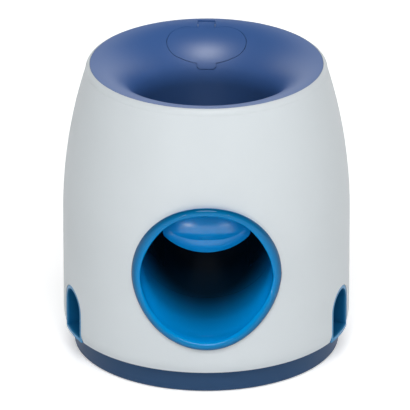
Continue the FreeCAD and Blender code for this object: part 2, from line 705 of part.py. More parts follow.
# Trigger flap: rounded plate with a crowned front, hanging from a barrel on its axle
def flap_outline(inset, front, back):
    """Upright plate with the flap's outline, drawn in by an inset, between two y values."""
    centre_z = FLAP_Z - (FLAP_DROP - FLAP_RADIUS)
    lower = math.radians(FLAP_ARC)
    def at(x, z):
        return (x, front, z)
    def on_arc(angle):
        return (FLAP_RADIUS * math.sin(angle), centre_z - FLAP_RADIUS * math.cos(angle))
    low = on_arc(lower)
    neck = (BARREL_HALF, FLAP_Z)
    shoulder = (FLAP_SHOULDER_X, FLAP_Z - FLAP_SHOULDER_DROP)
    bulge = ((low[0] + shoulder[0]) / 2 + FLAP_BULGE, (low[1] + shoulder[1]) / 2)
    edges = [line(at(-neck[0], neck[1]), at(neck[0], neck[1]))]
    for side in (1, -1):
        edges.append(line(at(side * neck[0], neck[1]), at(side * shoulder[0], shoulder[1])))
        edges.append(arc(at(side * shoulder[0], shoulder[1]), at(side * bulge[0], bulge[1]),
                         at(side * low[0], low[1])))
    edges.append(arc(at(-low[0], low[1]), at(0, centre_z - FLAP_RADIUS), at(low[0], low[1])))
    face = Part.Face(Part.Wire(Part.__sortEdges__(edges)))
    if inset:
        face = Part.Face(face.makeOffset2D(-inset, join=0).Wires[0])
    return face.extrude(V(0, back - front, 0))


def trigger_flap():
    plate = flap_outline(0, flap_y - FLAP_PLATE, flap_y)
    crown_z = FLAP_Z - FLAP_DROP * 0.56
    ball_y = flap_y - FLAP_PLATE - FLAP_CROWN + FLAP_CROWN_RADIUS
    crown = Part.makeSphere(FLAP_CROWN_RADIUS, V(0, ball_y, crown_z))
    crown = crown.common(flap_outline(FLAP_RIM, flap_y - FLAP_PLATE - FLAP_CROWN - 1, flap_y - 1))
    barrel = x_rod(BARREL_RADIUS, -BARREL_HALF, BARREL_HALF, flap_y, FLAP_Z)
    flap = fuse_all([plate, crown, barrel])
    reach = FLAP_SHOULDER_X
    return flap.cut(x_rod(FLAP_AXLE_RADIUS + PRESS_GAP, -reach, reach, flap_y, FLAP_Z))


# Steel axles, nylon bushes, cranks, link and spring clips on the right-hand side
bush_face = BOSS_END + BUSH_FLANGE
crank_in = bush_face + SIDE_GAP
crank_out = crank_in + CRANK_THICKNESS
link_in = crank_out + SIDE_GAP
link_out = link_in + LINK_THICKNESS
clip_in = link_out + FIT_GAP
clip_out = clip_in + CLIP_THICKNESS
peg_end = clip_out + AXLE_TAIL


def axle(radius, left, y, z):
    """Round steel axle from its left end to the face of its crank."""
    return x_rod(radius, left, crank_out, y, z)


def bush(radius, length, side, face_x, y, z):
    """Flanged nylon bush pressed in a wall whose outer face is at face_x."""
    outer = radius + RUN_GAP + BUSH_WALL
    x0 = side * (face_x - length)
    x1 = side * face_x
    x2 = side * (face_x + BUSH_FLANGE)
    sleeve = x_rod(outer, min(x0, x1), max(x0, x1), y, z)
    flange = x_rod(outer + BUSH_FLANGE, min(x1, x2), max(x1, x2), y, z)
    reach = length + 2
    bore = x_rod(radius + RUN_GAP, x1 - reach, x1 + reach, y, z)
    return sleeve.fuse(flange).cut(bore)


def crank(axle_radius, y, z):
    """Crank arm hanging down from its axle, with the peg that carries the link."""
    peg_z = z - CRANK_RADIUS
    hub = x_rod(CRANK_HUB, crank_in, crank_out, y, z)
    foot = x_rod(LINK_EYE, crank_in, crank_out, y, peg_z)
    arm = block(crank_in, crank_out, y - LINK_EYE, y + LINK_EYE, peg_z, z)
    peg = x_rod(PEG_RADIUS, crank_out, peg_end, y, peg_z)
    groove_depth = CLIP_WALL / 4
    groove = x_rod(PEG_RADIUS + 1, clip_in, clip_out, y, peg_z)
    groove = groove.cut(x_rod(PEG_RADIUS - groove_depth, clip_in, clip_out, y, peg_z))
    bore = x_rod(axle_radius + PRESS_GAP, crank_in - 1, crank_out + 1, y, z)
    return fuse_all([hub, foot, arm, peg]).cut(groove).cut(bore)


def spring_clip(shaft_radius, x0, x1, y, z):
    """Open retaining ring on a shaft, its gap downwards."""
    inner = shaft_radius + PRESS_GAP
    ring = x_rod(inner + CLIP_WALL, x0, x1, y, z).cut(x_rod(inner, x0 - 1, x1 + 1, y, z))
    gap = shaft_radius * 0.7
    return ring.cut(block(x0 - 1, x1 + 1, y - gap, y + gap, z - FAR, z))


def link_rod():
    """Flat link between the two crank pegs, with an eye at each end."""
    ay, az = flap_y, FLAP_Z - CRANK_RADIUS
    by, bz = drum_y, drum_z - CRANK_RADIUS
    run = math.hypot(by - ay, bz - az)
    ny = -(bz - az) / run * LINK_WIDTH / 2
    nz = (by - ay) / run * LINK_WIDTH / 2
    bar = x_plate([(ay + ny, az + nz), (by + ny, bz + nz), (by - ny, bz - nz), (ay - ny, az - nz)],
                  link_in, link_out)
    eyes = [x_rod(LINK_EYE, link_in, link_out, ay, az), x_rod(LINK_EYE, link_in, link_out, by, bz)]
    link = fuse_all([bar] + eyes)
    for y, z in ((ay, az), (by, bz)):
        link = link.cut(x_rod(PEG_RADIUS + RUN_GAP, link_in - 1, link_out + 1, y, z))
    return link


# Dosing drum with one pocket each side of its middle web, in a housing under the hopper
housing_end = DRUM_HALF + DRUM_CLEARANCE + HOUSING_END_WALL


def drum_ray(angle, radius):
    """Point (y, z) seen from the drum's axle, the angle counted from up towards the back."""
    a = math.radians(angle)
    return (drum_y + radius * math.sin(a), drum_z + radius * math.cos(a))


def dosing_drum():
    drum = x_rod(drum_radius, -DRUM_HALF, DRUM_HALF, drum_y, drum_z)
    reach = drum_radius * 2
    middle = (POCKET_START + POCKET_END) / 2
    wedge = [drum_ray(POCKET_START, 0), drum_ray(POCKET_START, reach), drum_ray(middle, reach),
             drum_ray(POCKET_END, reach)]
    for x0, x1 in ((DRUM_WEB / 2, DRUM_HALF - DRUM_WEB), (-DRUM_HALF + DRUM_WEB, -DRUM_WEB / 2)):
        pocket = x_plate(wedge, x0, x1).cut(x_rod(DRUM_HUB, x0 - 1, x1 + 1, drum_y, drum_z))
        drum = drum.cut(pocket)
    return drum.cut(x_rod(DRUM_AXLE_RADIUS + PRESS_GAP, -FAR, FAR, drum_y, drum_z))


def drum_housing():
    inner_end = DRUM_HALF + DRUM_CLEARANCE
    neck_front = throat_front_y - HOUSING_WALL
    neck_back = throat_back_y + HOUSING_WALL
    flange_half = housing_end + FLANGE_REACH
    flange_low = housing_top - FLANGE_THICKNESS
    body = x_rod(housing_radius, -housing_end, housing_end, drum_y, drum_z)
    neck = block(-housing_end, housing_end, neck_front, neck_back, drum_z, housing_top)
    flange = block(-flange_half, flange_half, flange_front_y, flange_back_y, flange_low, housing_top)
    solid = fuse_all([body, neck, flange])
    solid = solid.cut(x_rod(housing_bore, -inner_end, inner_end, drum_y, drum_z))
    solid = solid.cut(block(-inner_end, inner_end, throat_front_y, throat_back_y, drum_z, FAR))
    spout_top = drum_z - HOUSING_WALL
    solid = solid.cut(block(-inner_end, inner_end, drum_y, FAR, 0, spout_top))
    bush_outer = DRUM_AXLE_RADIUS + RUN_GAP + BUSH_WALL
    solid = solid.cut(x_rod(bush_outer + PRESS_GAP, -FAR, FAR, drum_y, drum_z))
    screw_x = housing_end + FLANGE_REACH / 2
    for x in (-screw_x, screw_x):
        solid = solid.cut(placed(bored(FAR), x, (flange_front_y + flange_back_y) / 2, drum_z))
    return solid


# Treat hopper: D-shaped bin behind the shaft, narrowing to the drum housing's throat
def hopper_bar(inset, top):
    """Hopper's outer form drawn in by an inset: plan, front view and side view together."""
    back = shell_radius(ledge_bottom) - SHELL_WALL - HOPPER_BACK_GAP - inset
    half = HOPPER_HALF_WIDTH - inset
    foot_half = DRUM_HALF + DRUM_CLEARANCE + HOPPER_WALL - inset
    front = hopper_front_y + inset
    foot_front = throat_front_y - HOPPER_WALL + inset
    foot_back = throat_back_y + HOPPER_WALL - inset
    low = housing_top - (1.0 if inset else 0.0)
    plan = Part.makeCylinder(back, top, V(0, 0, 0)).common(block(-half, half, front, FAR, 0, top))
    corners = [V(-half, 0, top), V(half, 0, top), V(half, 0, HOPPER_WAIST_Z), V(foot_half, 0, housing_top),
               V(foot_half, 0, low), V(-foot_half, 0, low), V(-foot_half, 0, housing_top),
               V(-half, 0, HOPPER_WAIST_Z)]
    if not inset:
        corners = [c for i, c in enumerate(corners) if i not in (4, 5)]
    view = Part.Face(Part.makePolygon(corners + corners[:1])).extrude(V(0, FAR, 0))
    side = [(front, top), (back, top), (back, HOPPER_WAIST_Z), (foot_back, housing_top)]
    side += [(foot_back, low), (foot_front, low)] if inset else []
    side += [(foot_front, housing_top), (front, HOPPER_WAIST_Z)]
    return plan.common(view).common(x_plate(side, -FAR, FAR))


def treat_hopper():
    cut_depth = DISH_WALL + SEAT_THICKNESS + HOPPER_TOP_GAP
    solid = hopper_bar(0, ledge_bottom - HOPPER_TOP_GAP)
    flange_half = housing_end + FLANGE_REACH
    flange_high = housing_top + FLANGE_THICKNESS
    flange = block(-flange_half, flange_half, flange_front_y, flange_back_y, housing_top, flange_high)
    solid = solid.fuse(flange).cut(hopper_bar(HOPPER_WALL, HEIGHT + 1))
    solid = solid.cut(turned(above_dish(cut_depth)))
    screw_x = housing_end + FLANGE_REACH / 2
    for x in (-screw_x, screw_x):
        y = (flange_front_y + flange_back_y) / 2
        solid = solid.cut(placed(bored(FAR), x, y, housing_top - 1))
    for x in (-BRACKET_X, BRACKET_X):
        hole_end = hopper_front_y + HOPPER_WALL
        solid = solid.cut(rod(SCREW_RADIUS + RUN_GAP, (x, 0, BRACKET_Z), (x, hole_end, BRACKET_Z)))
    return solid


def above_dish(depth):
    """Profile of everything above a surface that lies a depth below the bell."""
    bell, tangent, wall = bell_arc(depth)
    edge = (BODY_RADIUS, dish_z(BODY_RADIUS, depth))
    return [
        line(rz(*edge), rz(*tangent)),
        bell,
        line(rz(*wall), rz(wall[0], 0)),
        line(rz(wall[0], 0), rz(0, 0)),
        line(rz(0, 0), rz(0, HEIGHT * 2)),
        line(rz(0, HEIGHT * 2), rz(BODY_RADIUS, HEIGHT * 2)),
        line(rz(BODY_RADIUS, HEIGHT * 2), rz(*edge)),
    ]


# Treat slides: two mirrored troughs whose flat floors fall from the ridge at the back to the
# outlets, and a wedge on the ridge that parts the treats
slide_radius = base_top_radius - BASE_WALL - FIT_GAP - BASE_GAP
slide_legs = [polar(slide_radius - SLIDE_LEG_INSET, a) for a in SLIDE_LEG_AZIMUTHS]


def slide_slab(low, high):
    """Tilted slab between two heights above the right-hand slide's floor."""
    slab = Part.makeBox(FAR, FAR, high - low, V(-FAR / 2, -FAR / 2, low))
    heading = math.radians(SLIDE_HEADING)
    hinge = V(math.sin(heading), math.cos(heading), 0)
    slab.rotate(V(0, 0, 0), hinge, SLIDE_SLOPE)
    slab.translate(V(0, SLIDE_TOP_Y, SLIDE_TOP_Z))
    return slab


def slide_plan(inset):
    """Upright bar with the right-hand slide's plan, drawn in by an inset."""
    top = SLIDE_RAIL_TOP_Z
    plan = Part.makeCylinder(slide_radius - inset, top)
    plan = plan.cut(Part.makeCylinder(slide_inner_radius + inset, top))
    plan = plan.common(block(0.1, FAR, SLIDE_SETBACK - BODY_RADIUS + inset, FAR, 0, top))
    return plan.cut(block(0, slide_inner_radius + inset, -FAR, 0, 0, top))


def treat_slide():
    floor = slide_plan(0).common(slide_slab(-SLIDE_FLOOR, 0))
    rails = slide_plan(0).cut(slide_plan(SLIDE_WALL)).common(slide_slab(-SLIDE_FLOOR, SLIDE_RAIL))
    rails = rails.cut(block(-1, SPLITTER_HALF_WIDTH, slide_inner_radius + SLIDE_WALL + 1,
                            slide_radius - SLIDE_WALL - 1, 0, FAR))
    floor_top = BASE_FLOOR_Z + BASE_FLOOR
    legs = []
    for x, y in slide_legs:
        leg = Part.makeCylinder(POST_RADIUS, SLIDE_TOP_Z, V(x, y, floor_top))
        legs.append(leg.common(slide_slab(-FAR, -SLIDE_FLOOR / 2)))
    slide = fuse_all([floor, rails] + legs)
    slide = slide.cut(outlet_arch(OUTLET_GAP, outlet_back - FIT_GAP, BODY_RADIUS, SHELL_FOOT_Z - FIT_GAP))
    for x, y in slide_legs:
        slide = slide.cut(placed(bored(SCREW_LENGTH + 1), x, y, floor_top))
    return slide


def treat_splitter():
    half = SPLITTER_HALF_WIDTH
    apex = SLIDE_TOP_Z + SPLITTER_HEIGHT
    y0 = slide_inner_radius + SLIDE_WALL + 1.5
    y1 = slide_radius - SLIDE_WALL - 1.5
    corners = [V(-half, y0, apex - half * 1.6), V(0, y0, apex), V(half, y0, apex - half * 1.6)]
    wedge = Part.Face(Part.makePolygon(corners + corners[:1])).extrude(V(0, y1 - y0, 0))
    below = slide_slab(-FAR, 0).common(block(0, FAR, -FAR, FAR, -FAR, FAR))
    return wedge.cut(below).cut(mirrored(below))


def outlet_frame():
    """Bright blue arched frame of the right-hand outlet, with a flange behind the shell."""
    tunnel = outlet_arch(0, outlet_back, BODY_RADIUS + 1, SHELL_FOOT_Z)
    tunnel = tunnel.common(Part.makeCylinder(BODY_RADIUS - FIT_GAP, HEIGHT))
    back = BODY_RADIUS - SHELL_WALL - FIT_GAP
    flange_low = SHELL_FOOT_Z + FOOT_ROUND
    flange = outlet_arch(OUTLET_FLANGE, outlet_back, BODY_RADIUS, flange_low)
    flange = flange.common(Part.makeCylinder(back, HEIGHT))
    flange = flange.cut(Part.makeCylinder(back - OUTLET_FLANGE_THICKNESS, HEIGHT))
    inner = outlet_arch(-OUTLET_WALL, outlet_back - 1, BODY_RADIUS + 1, SHELL_FOOT_Z + OUTLET_WALL)
    return tunnel.fuse(flange).cut(inner)


# Dark blue base with the groove for the anti-slip ring; every foot screw comes up through it
def screw_places():
    """All (x, y) of the screws in the base: shell bosses, chute legs and slide legs."""
    bosses = [polar(shell_boss_at, a) for a in SHELL_BOSS_AZIMUTHS]
    slides = [(side * x, y) for side in (1, -1) for x, y in slide_legs]
    return bosses, list(CHUTE_LEGS), slides


def base_plate():
    floor_top = BASE_FLOOR_Z + BASE_FLOOR
    spigot_top = SHELL_FOOT_Z + BASE_SPIGOT
    inner_top = base_top_radius - BASE_WALL
    inner_low = base_foot_radius - BASE_WALL
    profile = [
        (0, BASE_FLOOR_Z), (base_recess_radius, BASE_FLOOR_Z), (base_recess_radius, BASE_LIFT),
        (base_foot_radius - BASE_ROUND, BASE_LIFT), (base_foot_radius, BASE_LIFT + BASE_ROUND),
        (base_top_radius, SHELL_FOOT_Z), (base_top_radius, spigot_top), (inner_top, spigot_top),
        (inner_top, SHELL_FOOT_Z), (inner_low, floor_top), (0, floor_top),
    ]
    base = turned_polygon(profile)
    groove = Part.makeCylinder(ring_outer + RING_GAP, RING_THICKNESS)
    base = base.cut(groove.cut(Part.makeCylinder(ring_inner - RING_GAP, RING_THICKNESS)))
    notch = outlet_arch(OUTLET_GAP, outlet_back - FIT_GAP, BODY_RADIUS, SHELL_FOOT_Z - FIT_GAP)
    base = base.cut(notch).cut(mirrored(notch))
    for group in screw_places():
        for x, y in group:
            base = base.cut(placed(bored(BASE_FLOOR + 2), x, y, BASE_FLOOR_Z - 1))
    return base


def anti_slip_ring():
    ring = Part.makeCylinder(ring_outer, RING_THICKNESS)
    return ring.cut(Part.makeCylinder(ring_inner, RING_THICKNESS))


def foot_screws(places):
    tip = BASE_FLOOR + SCREW_LENGTH
    return Part.makeCompound([placed(screw(tip), x, y, BASE_FLOOR_Z) for x, y in places])


def hopper_screws():
    """Two screws through the hopper's flange into the drum housing, heads on top."""
    y = (flange_front_y + flange_back_y) / 2
    x = housing_end + FLANGE_REACH / 2
    one = screw(FLANGE_THICKNESS * 2 + 2)
    one.rotate(V(0, 0, 0), SIDE, 180)
    z = housing_top + FLANGE_THICKNESS
    return Part.makeCompound([placed(one, -x, y, z), placed(one, x, y, z)])


def bracket_screws():
    """Two screws from inside the hopper into the chute's bracket bosses."""
    one = screw(HOPPER_WALL + SCREW_LENGTH / 2 - 1)
    one.rotate(V(0, 0, 0), SIDE, 90)
    y = hopper_front_y + HOPPER_WALL
    return Part.makeCompound([placed(one, -BRACKET_X, y, BRACKET_Z), placed(one, BRACKET_X, y, BRACKET_Z)])


save("outer_shell", outer_shell())
save("top_funnel", top_funnel())
save("treat_lid", treat_lid())
save("lid_hinge_pin", lid_hinge_pin())
save("mouth_tube", mouth_tube())
save("chute_elbow", chute_elbow())
save("trigger_flap", trigger_flap())
save("link_rod", link_rod())
save("dosing_drum", dosing_drum())
save("drum_housing", drum_housing())
save("treat_hopper", treat_hopper())

peg_neck = PEG_RADIUS - CLIP_WALL / 4
for name, radius, length, face_x, y, z in (
        ("flap", FLAP_AXLE_RADIUS, BUSH_LENGTH, BOSS_END, flap_y, FLAP_Z),
        ("drum", DRUM_AXLE_RADIUS, HOUSING_END_WALL, housing_end, drum_y, drum_z)):
    clip_end = -(face_x + BUSH_FLANGE + SIDE_GAP)
    clip_start = clip_end - CLIP_THICKNESS
    save(name + "_axle", axle(radius, clip_start - AXLE_TAIL, y, z))
    save(name + "_crank", crank(radius, y, z))
    save(name + "_axle_clip", spring_clip(radius, clip_start, clip_end, y, z))
    save(name + "_peg_clip", spring_clip(peg_neck, clip_in, clip_out, y, z - CRANK_RADIUS))
    bushes = [bush(radius, length, side, face_x, y, z) for side in (1, -1)]
    save(name + "_axle_bushes", Part.makeCompound(bushes))

right_slide = treat_slide()
save("right_treat_slide", right_slide)
save("left_treat_slide", mirrored(right_slide))
save("treat_splitter", treat_splitter())
right_frame = outlet_frame()
save("right_outlet_frame", right_frame)
save("left_outlet_frame", mirrored(right_frame))
save("base_plate", base_plate())
save("anti_slip_ring", anti_slip_ring())
boss_places, leg_places, slide_places = screw_places()
save("base_screws", foot_screws(boss_places))
save("chute_screws", foot_screws(leg_places))
save("slide_screws", foot_screws(slide_places))
save("hopper_screws", hopper_screws())
save("bracket_screws", bracket_screws())
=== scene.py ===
import math

import bmesh
import bpy
import numpy as np
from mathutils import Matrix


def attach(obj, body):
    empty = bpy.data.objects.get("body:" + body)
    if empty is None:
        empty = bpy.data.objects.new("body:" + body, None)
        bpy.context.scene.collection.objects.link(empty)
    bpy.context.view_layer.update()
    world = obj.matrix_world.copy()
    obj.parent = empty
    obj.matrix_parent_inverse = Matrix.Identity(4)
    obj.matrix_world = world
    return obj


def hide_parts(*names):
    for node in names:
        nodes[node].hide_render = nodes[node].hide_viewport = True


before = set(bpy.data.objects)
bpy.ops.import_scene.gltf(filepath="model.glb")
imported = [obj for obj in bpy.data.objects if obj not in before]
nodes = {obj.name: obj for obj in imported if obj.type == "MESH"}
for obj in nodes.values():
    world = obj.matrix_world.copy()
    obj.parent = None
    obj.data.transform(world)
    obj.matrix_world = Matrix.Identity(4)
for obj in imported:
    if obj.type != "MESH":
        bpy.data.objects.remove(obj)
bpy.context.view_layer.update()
scene = bpy.context.scene


# Studio: a long lens well back from the toy, a level white floor that runs out of sight, daylight
# from all round, a broad soft box high in front and two small ones low beside the camera. Soft
# fills, which polished faces don't show, light the sides and the back.
LENS_PIXELS = 8290.0
PICTURE_WIDTH = 410.0
SENSOR_WIDTH = 36.0
SHIFT_PIXELS = -1.5
CAMERA_DISTANCE = 5.0
CAMERA_RISE = math.radians(23.68)
AIM_HEIGHT = 0.0872
VIEW_END = 20.0
camera_data = bpy.data.cameras.new("camera")
camera_data.sensor_width = SENSOR_WIDTH
camera_data.lens = LENS_PIXELS / PICTURE_WIDTH * SENSOR_WIDTH
camera_data.shift_x = SHIFT_PIXELS / PICTURE_WIDTH
camera_data.clip_end = VIEW_END
camera = bpy.data.objects.new("camera", camera_data)
camera.location = (0.0, -CAMERA_DISTANCE * math.cos(CAMERA_RISE),
                   AIM_HEIGHT + CAMERA_DISTANCE * math.sin(CAMERA_RISE))
camera.rotation_euler = (math.pi / 2 - CAMERA_RISE, 0.0, 0.0)
scene.collection.objects.link(camera)
scene.camera = camera
scene.view_settings.view_transform = "Standard"


def feed(tree, value, socket):
    """Give an input its value: another node's output by a link, a number or a colour straight."""
    if isinstance(value, bpy.types.NodeSocket):
        tree.links.new(value, socket)
    elif isinstance(value, tuple):
        socket.default_value = (*value, 1.0)
    else:
        socket.default_value = value


def combined(tree, operation, first, second):
    """One sum, product or other plain operation on two values, each an output or a number."""
    node = tree.nodes.new("ShaderNodeMath")
    node.operation = operation
    feed(tree, first, node.inputs[0])
    feed(tree, second, node.inputs[1])
    return node.outputs[0]


def eased(tree, value, low, high):
    """Share t of the way from low to high, 0 to 1, eased at both ends: 3t squared less 2t cubed."""
    step = tree.nodes.new("ShaderNodeMapRange")
    step.interpolation_type = "SMOOTHSTEP"
    for given, name in ((value, "Value"), (low, "From Min"), (high, "From Max")):
        feed(tree, given, step.inputs[name])
    return step.outputs["Result"]


def coordinates(tree, kind):
    """A point's coordinates of a kind, such as those in its own object."""
    return tree.nodes.new("ShaderNodeTexCoord").outputs[kind]


def split(tree, vector):
    """x, y and z of a vector."""
    node = tree.nodes.new("ShaderNodeSeparateXYZ")
    feed(tree, vector, node.inputs[0])
    return node.outputs[:]


def ray_masks(tree):
    """Mask that is 1 for the camera's rays, and mask that is 1 for mirrored and refracted ones."""
    path = tree.nodes.new("ShaderNodeLightPath")
    mirrored = combined(tree, "MAXIMUM", path.outputs["Is Glossy Ray"],
                        path.outputs["Is Transmission Ray"])
    return path.outputs["Is Camera Ray"], mirrored


def glowing(tree, kind, color, strength):
    """Background or emission shader of one colour, with a number or an output for its strength."""
    node = tree.nodes.new(kind)
    feed(tree, color, node.inputs["Color"])
    feed(tree, strength, node.inputs["Strength"])
    return node.outputs[0]


def mixed(tree, mask, where_0, where_1):
    """Shader that is one where a mask is 0 and the other where it is 1."""
    node = tree.nodes.new("ShaderNodeMixShader")
    for given, socket in zip((mask, where_0, where_1), node.inputs):
        feed(tree, given, socket)
    return node.outputs[0]


# The sky is plain daylight to the faces that it lights and white to the camera. Polished faces
# mirror a room that is white low behind the toy, dim on the camera's side and black overhead.
WHITE = (1.0, 1.0, 1.0)
DAYLIGHT = (0.97, 0.985, 1.0)
DAYLIGHT_STRENGTH = 0.2
ROOM_DIM = 0.2
BACK_WALL = (-0.2, 0.7)
CEILING = (0.35, 0.8)
world = bpy.data.worlds.new("daylight")
world.use_nodes = True
scene.world = world
sky = world.node_tree
sky.nodes.clear()
_, backwards, upwards = split(sky, coordinates(sky, "Generated"))
walls = combined(sky, "ADD", eased(sky, backwards, *BACK_WALL), ROOM_DIM)
below_ceiling = combined(sky, "SUBTRACT", 1.0, eased(sky, upwards, *CEILING))
room_light = combined(sky, "MULTIPLY", walls, below_ceiling)
camera_ray, mirrored_ray = ray_masks(sky)
daylight = glowing(sky, "ShaderNodeBackground", DAYLIGHT, DAYLIGHT_STRENGTH)
room = glowing(sky, "ShaderNodeBackground", WHITE, room_light)
backdrop = glowing(sky, "ShaderNodeBackground", WHITE, 1.0)
whole_sky = mixed(sky, camera_ray, mixed(sky, mirrored_ray, daylight, room), backdrop)
feed(sky, whole_sky, sky.nodes.new("ShaderNodeOutputWorld").inputs["Surface"])

LAMP_DISTANCE = 1.6


def soft_box(name, azimuth, elevation, width, height, watts, mirrored=True):
    """Rectangular lamp that faces the toy's middle from LAMP_DISTANCE away, at an azimuth counted
    from the front towards +X and at an elevation. Polished faces show it only if mirrored."""
    data = bpy.data.lights.new(name, "AREA")
    data.shape = "RECTANGLE"
    data.size = width
    data.size_y = height
    data.energy = watts
    turn = math.radians(azimuth)
    rise = math.radians(elevation)
    flat = LAMP_DISTANCE * math.cos(rise)
    lamp = bpy.data.objects.new(name, data)
    lamp.location = (flat * math.sin(turn), -flat * math.cos(turn),
                     AIM_HEIGHT + LAMP_DISTANCE * math.sin(rise))
    lamp.rotation_euler = (math.pi / 2 - rise, 0.0, turn)
    lamp.visible_glossy = mirrored
    scene.collection.objects.link(lamp)


soft_box("key_box", 0.0, 50.0, 0.85, 0.75, 16.6)
soft_box("left_box", -25.0, 2.5, 0.2, 0.18, 2.4)
soft_box("right_box", 25.0, 2.5, 0.2, 0.18, 1.0)
soft_box("left_fill", -88.0, 20.0, 0.6, 0.8, 0.8, mirrored=False)
soft_box("right_fill", 88.0, 20.0, 0.6, 0.8, 3.8, mirrored=False)
soft_box("back_fill", 180.0, 25.0, 0.8, 0.8, 6.0, mirrored=False)

# The floor is matt white card that keeps the toy's shadow. Where a ray sees it directly, a glow
# that grows with the distance from the toy lifts it to the backdrop's white.
FLOOR_HALF = 12.0
FLOOR_WHITE = (0.9, 0.9, 0.9)
GLOW_NEAR = 0.45
GLOW_GAIN = 0.5
GLOW_RUN = (0.1, 1.3)
floor_mesh = bpy.data.meshes.new("floor")
corners = [(x * FLOOR_HALF, y * FLOOR_HALF, 0.0) for x, y in ((-1, -1), (1, -1), (1, 1), (-1, 1))]
floor_mesh.from_pydata(corners, [], [(0, 1, 2, 3)])
floor = bpy.data.objects.new("floor", floor_mesh)
scene.collection.objects.link(floor)
floor_paint = bpy.data.materials.new("floor_paint")
floor_paint.use_nodes = True
paint = floor_paint.node_tree
paint.nodes.clear()
from_toy = paint.nodes.new("ShaderNodeVectorMath")
from_toy.operation = "LENGTH"
feed(paint, coordinates(paint, "Object"), from_toy.inputs[0])
farther = eased(paint, from_toy.outputs["Value"], *GLOW_RUN)
lift = combined(paint, "ADD", combined(paint, "MULTIPLY", farther, GLOW_GAIN), GLOW_NEAR)
seen_directly = combined(paint, "MAXIMUM", *ray_masks(paint))
matt = paint.nodes.new("ShaderNodeBsdfDiffuse")
feed(paint, FLOOR_WHITE, matt.inputs["Color"])
glow = glowing(paint, "ShaderNodeEmission", WHITE, combined(paint, "MULTIPLY", seen_directly, lift))
lifted = paint.nodes.new("ShaderNodeAddShader")
feed(paint, matt.outputs[0], lifted.inputs[0])
feed(paint, glow, lifted.inputs[1])
feed(paint, lifted.outputs[0], paint.nodes.new("ShaderNodeOutputMaterial").inputs["Surface"])
floor_mesh.materials.append(floor_paint)


# Outer shell: one tall moulding in pale grey polypropylene with a fine satin grain. It stands
# over the base's spigot and is held by four screws that come up through the base.
CLOUD_SCALE = 22.0
CLOUD_DETAIL = 3.0
GRAIN_SCALE = 2400.0
GRAIN_DETAIL = 2.0
BUMP_STRENGTH = 0.5
SATIN_GRAIN = 0.00002


def shader_group(name, inputs, outputs):
    """Empty shader node group, its inputs and outputs named in tables with the kind of each, and
    its two end nodes."""
    group = bpy.data.node_groups.new(name, "ShaderNodeTree")
    for in_out, table in (("INPUT", inputs), ("OUTPUT", outputs)):
        for label, kind in table.items():
            group.interface.new_socket(name=label, in_out=in_out, socket_type="NodeSocket" + kind)
    return group, group.nodes.new("NodeGroupInput"), group.nodes.new("NodeGroupOutput")


def noise(tree, place, scale, detail):
    """Noise about one half, with so many waves to the metre and so many finer octaves."""
    node = tree.nodes.new("ShaderNodeTexNoise")
    for given, name in ((place, "Vector"), (scale, "Scale"), (detail, "Detail")):
        feed(tree, given, node.inputs[name])
    return node.outputs["Fac"]


def moulding_grain():
    """Group for moulded plastic: the colour and the roughness times one plus the drift times a
    cloudy noise about nought, and the fine noise of a grained mould for the height."""
    group, given, result = shader_group(
        "moulding_grain", {"Color": "Color", "Drift": "Float", "Roughness": "Float"},
        {"Color": "Color", "Roughness": "Float", "Height": "Float"})
    place = coordinates(group, "Object")
    cloud = combined(group, "SUBTRACT", noise(group, place, CLOUD_SCALE, CLOUD_DETAIL), 0.5)
    drifting = combined(group, "MULTIPLY", cloud, given.outputs["Drift"])
    share = combined(group, "ADD", drifting, 1.0)
    tint = group.nodes.new("ShaderNodeVectorMath")
    tint.operation = "SCALE"
    feed(group, given.outputs["Color"], tint.inputs[0])
    feed(group, share, tint.inputs["Scale"])
    roughness = combined(group, "MULTIPLY", given.outputs["Roughness"], share)
    feed(group, tint.outputs["Vector"], result.inputs["Color"])
    feed(group, roughness, result.inputs["Roughness"])
    feed(group, noise(group, place, GRAIN_SCALE, GRAIN_DETAIL), result.inputs["Height"])
    return group


MOULDING_GRAIN = moulding_grain()


def placed(tree, group, table):
    """Node of a group in a material's tree, its inputs fed from a table."""
    node = tree.nodes.new("ShaderNodeGroup")
    node.node_tree = group
    for name, value in table.items():
        feed(tree, value, node.inputs[name])
    return node


def moulded(name, color, roughness, shine=0.3, drift=0.06, grain_depth=SATIN_GRAIN):
    """Moulded plastic: one shader whose colour, roughness and bump come from the moulding_grain
    group. The color is a plain one, or a function that makes one in the material's tree."""
    material = bpy.data.materials.new(name)
    material.use_nodes = True
    tree = material.node_tree
    grain = placed(tree, MOULDING_GRAIN, {"Color": color(tree) if callable(color) else color,
                                          "Drift": drift, "Roughness": roughness})
    bump = tree.nodes.new("ShaderNodeBump")
    feed(tree, BUMP_STRENGTH, bump.inputs["Strength"])
    feed(tree, grain_depth, bump.inputs["Distance"])
    feed(tree, grain.outputs["Height"], bump.inputs["Height"])
    shader = tree.nodes["Principled BSDF"]
    feed(tree, grain.outputs["Color"], shader.inputs["Base Color"])
    feed(tree, grain.outputs["Roughness"], shader.inputs["Roughness"])
    feed(tree, bump.outputs["Normal"], shader.inputs["Normal"])
    feed(tree, shine, shader.inputs["Specular IOR Level"])
    return material


def finish_nodes(material, *names):
    """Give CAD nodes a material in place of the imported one."""
    for name in names:
        for slot in nodes[name].material_slots:
            slot.material = material


white_shell = moulded("white_shell", (0.652, 0.698, 0.722), 0.45)
finish_nodes(white_shell, "outer_shell")


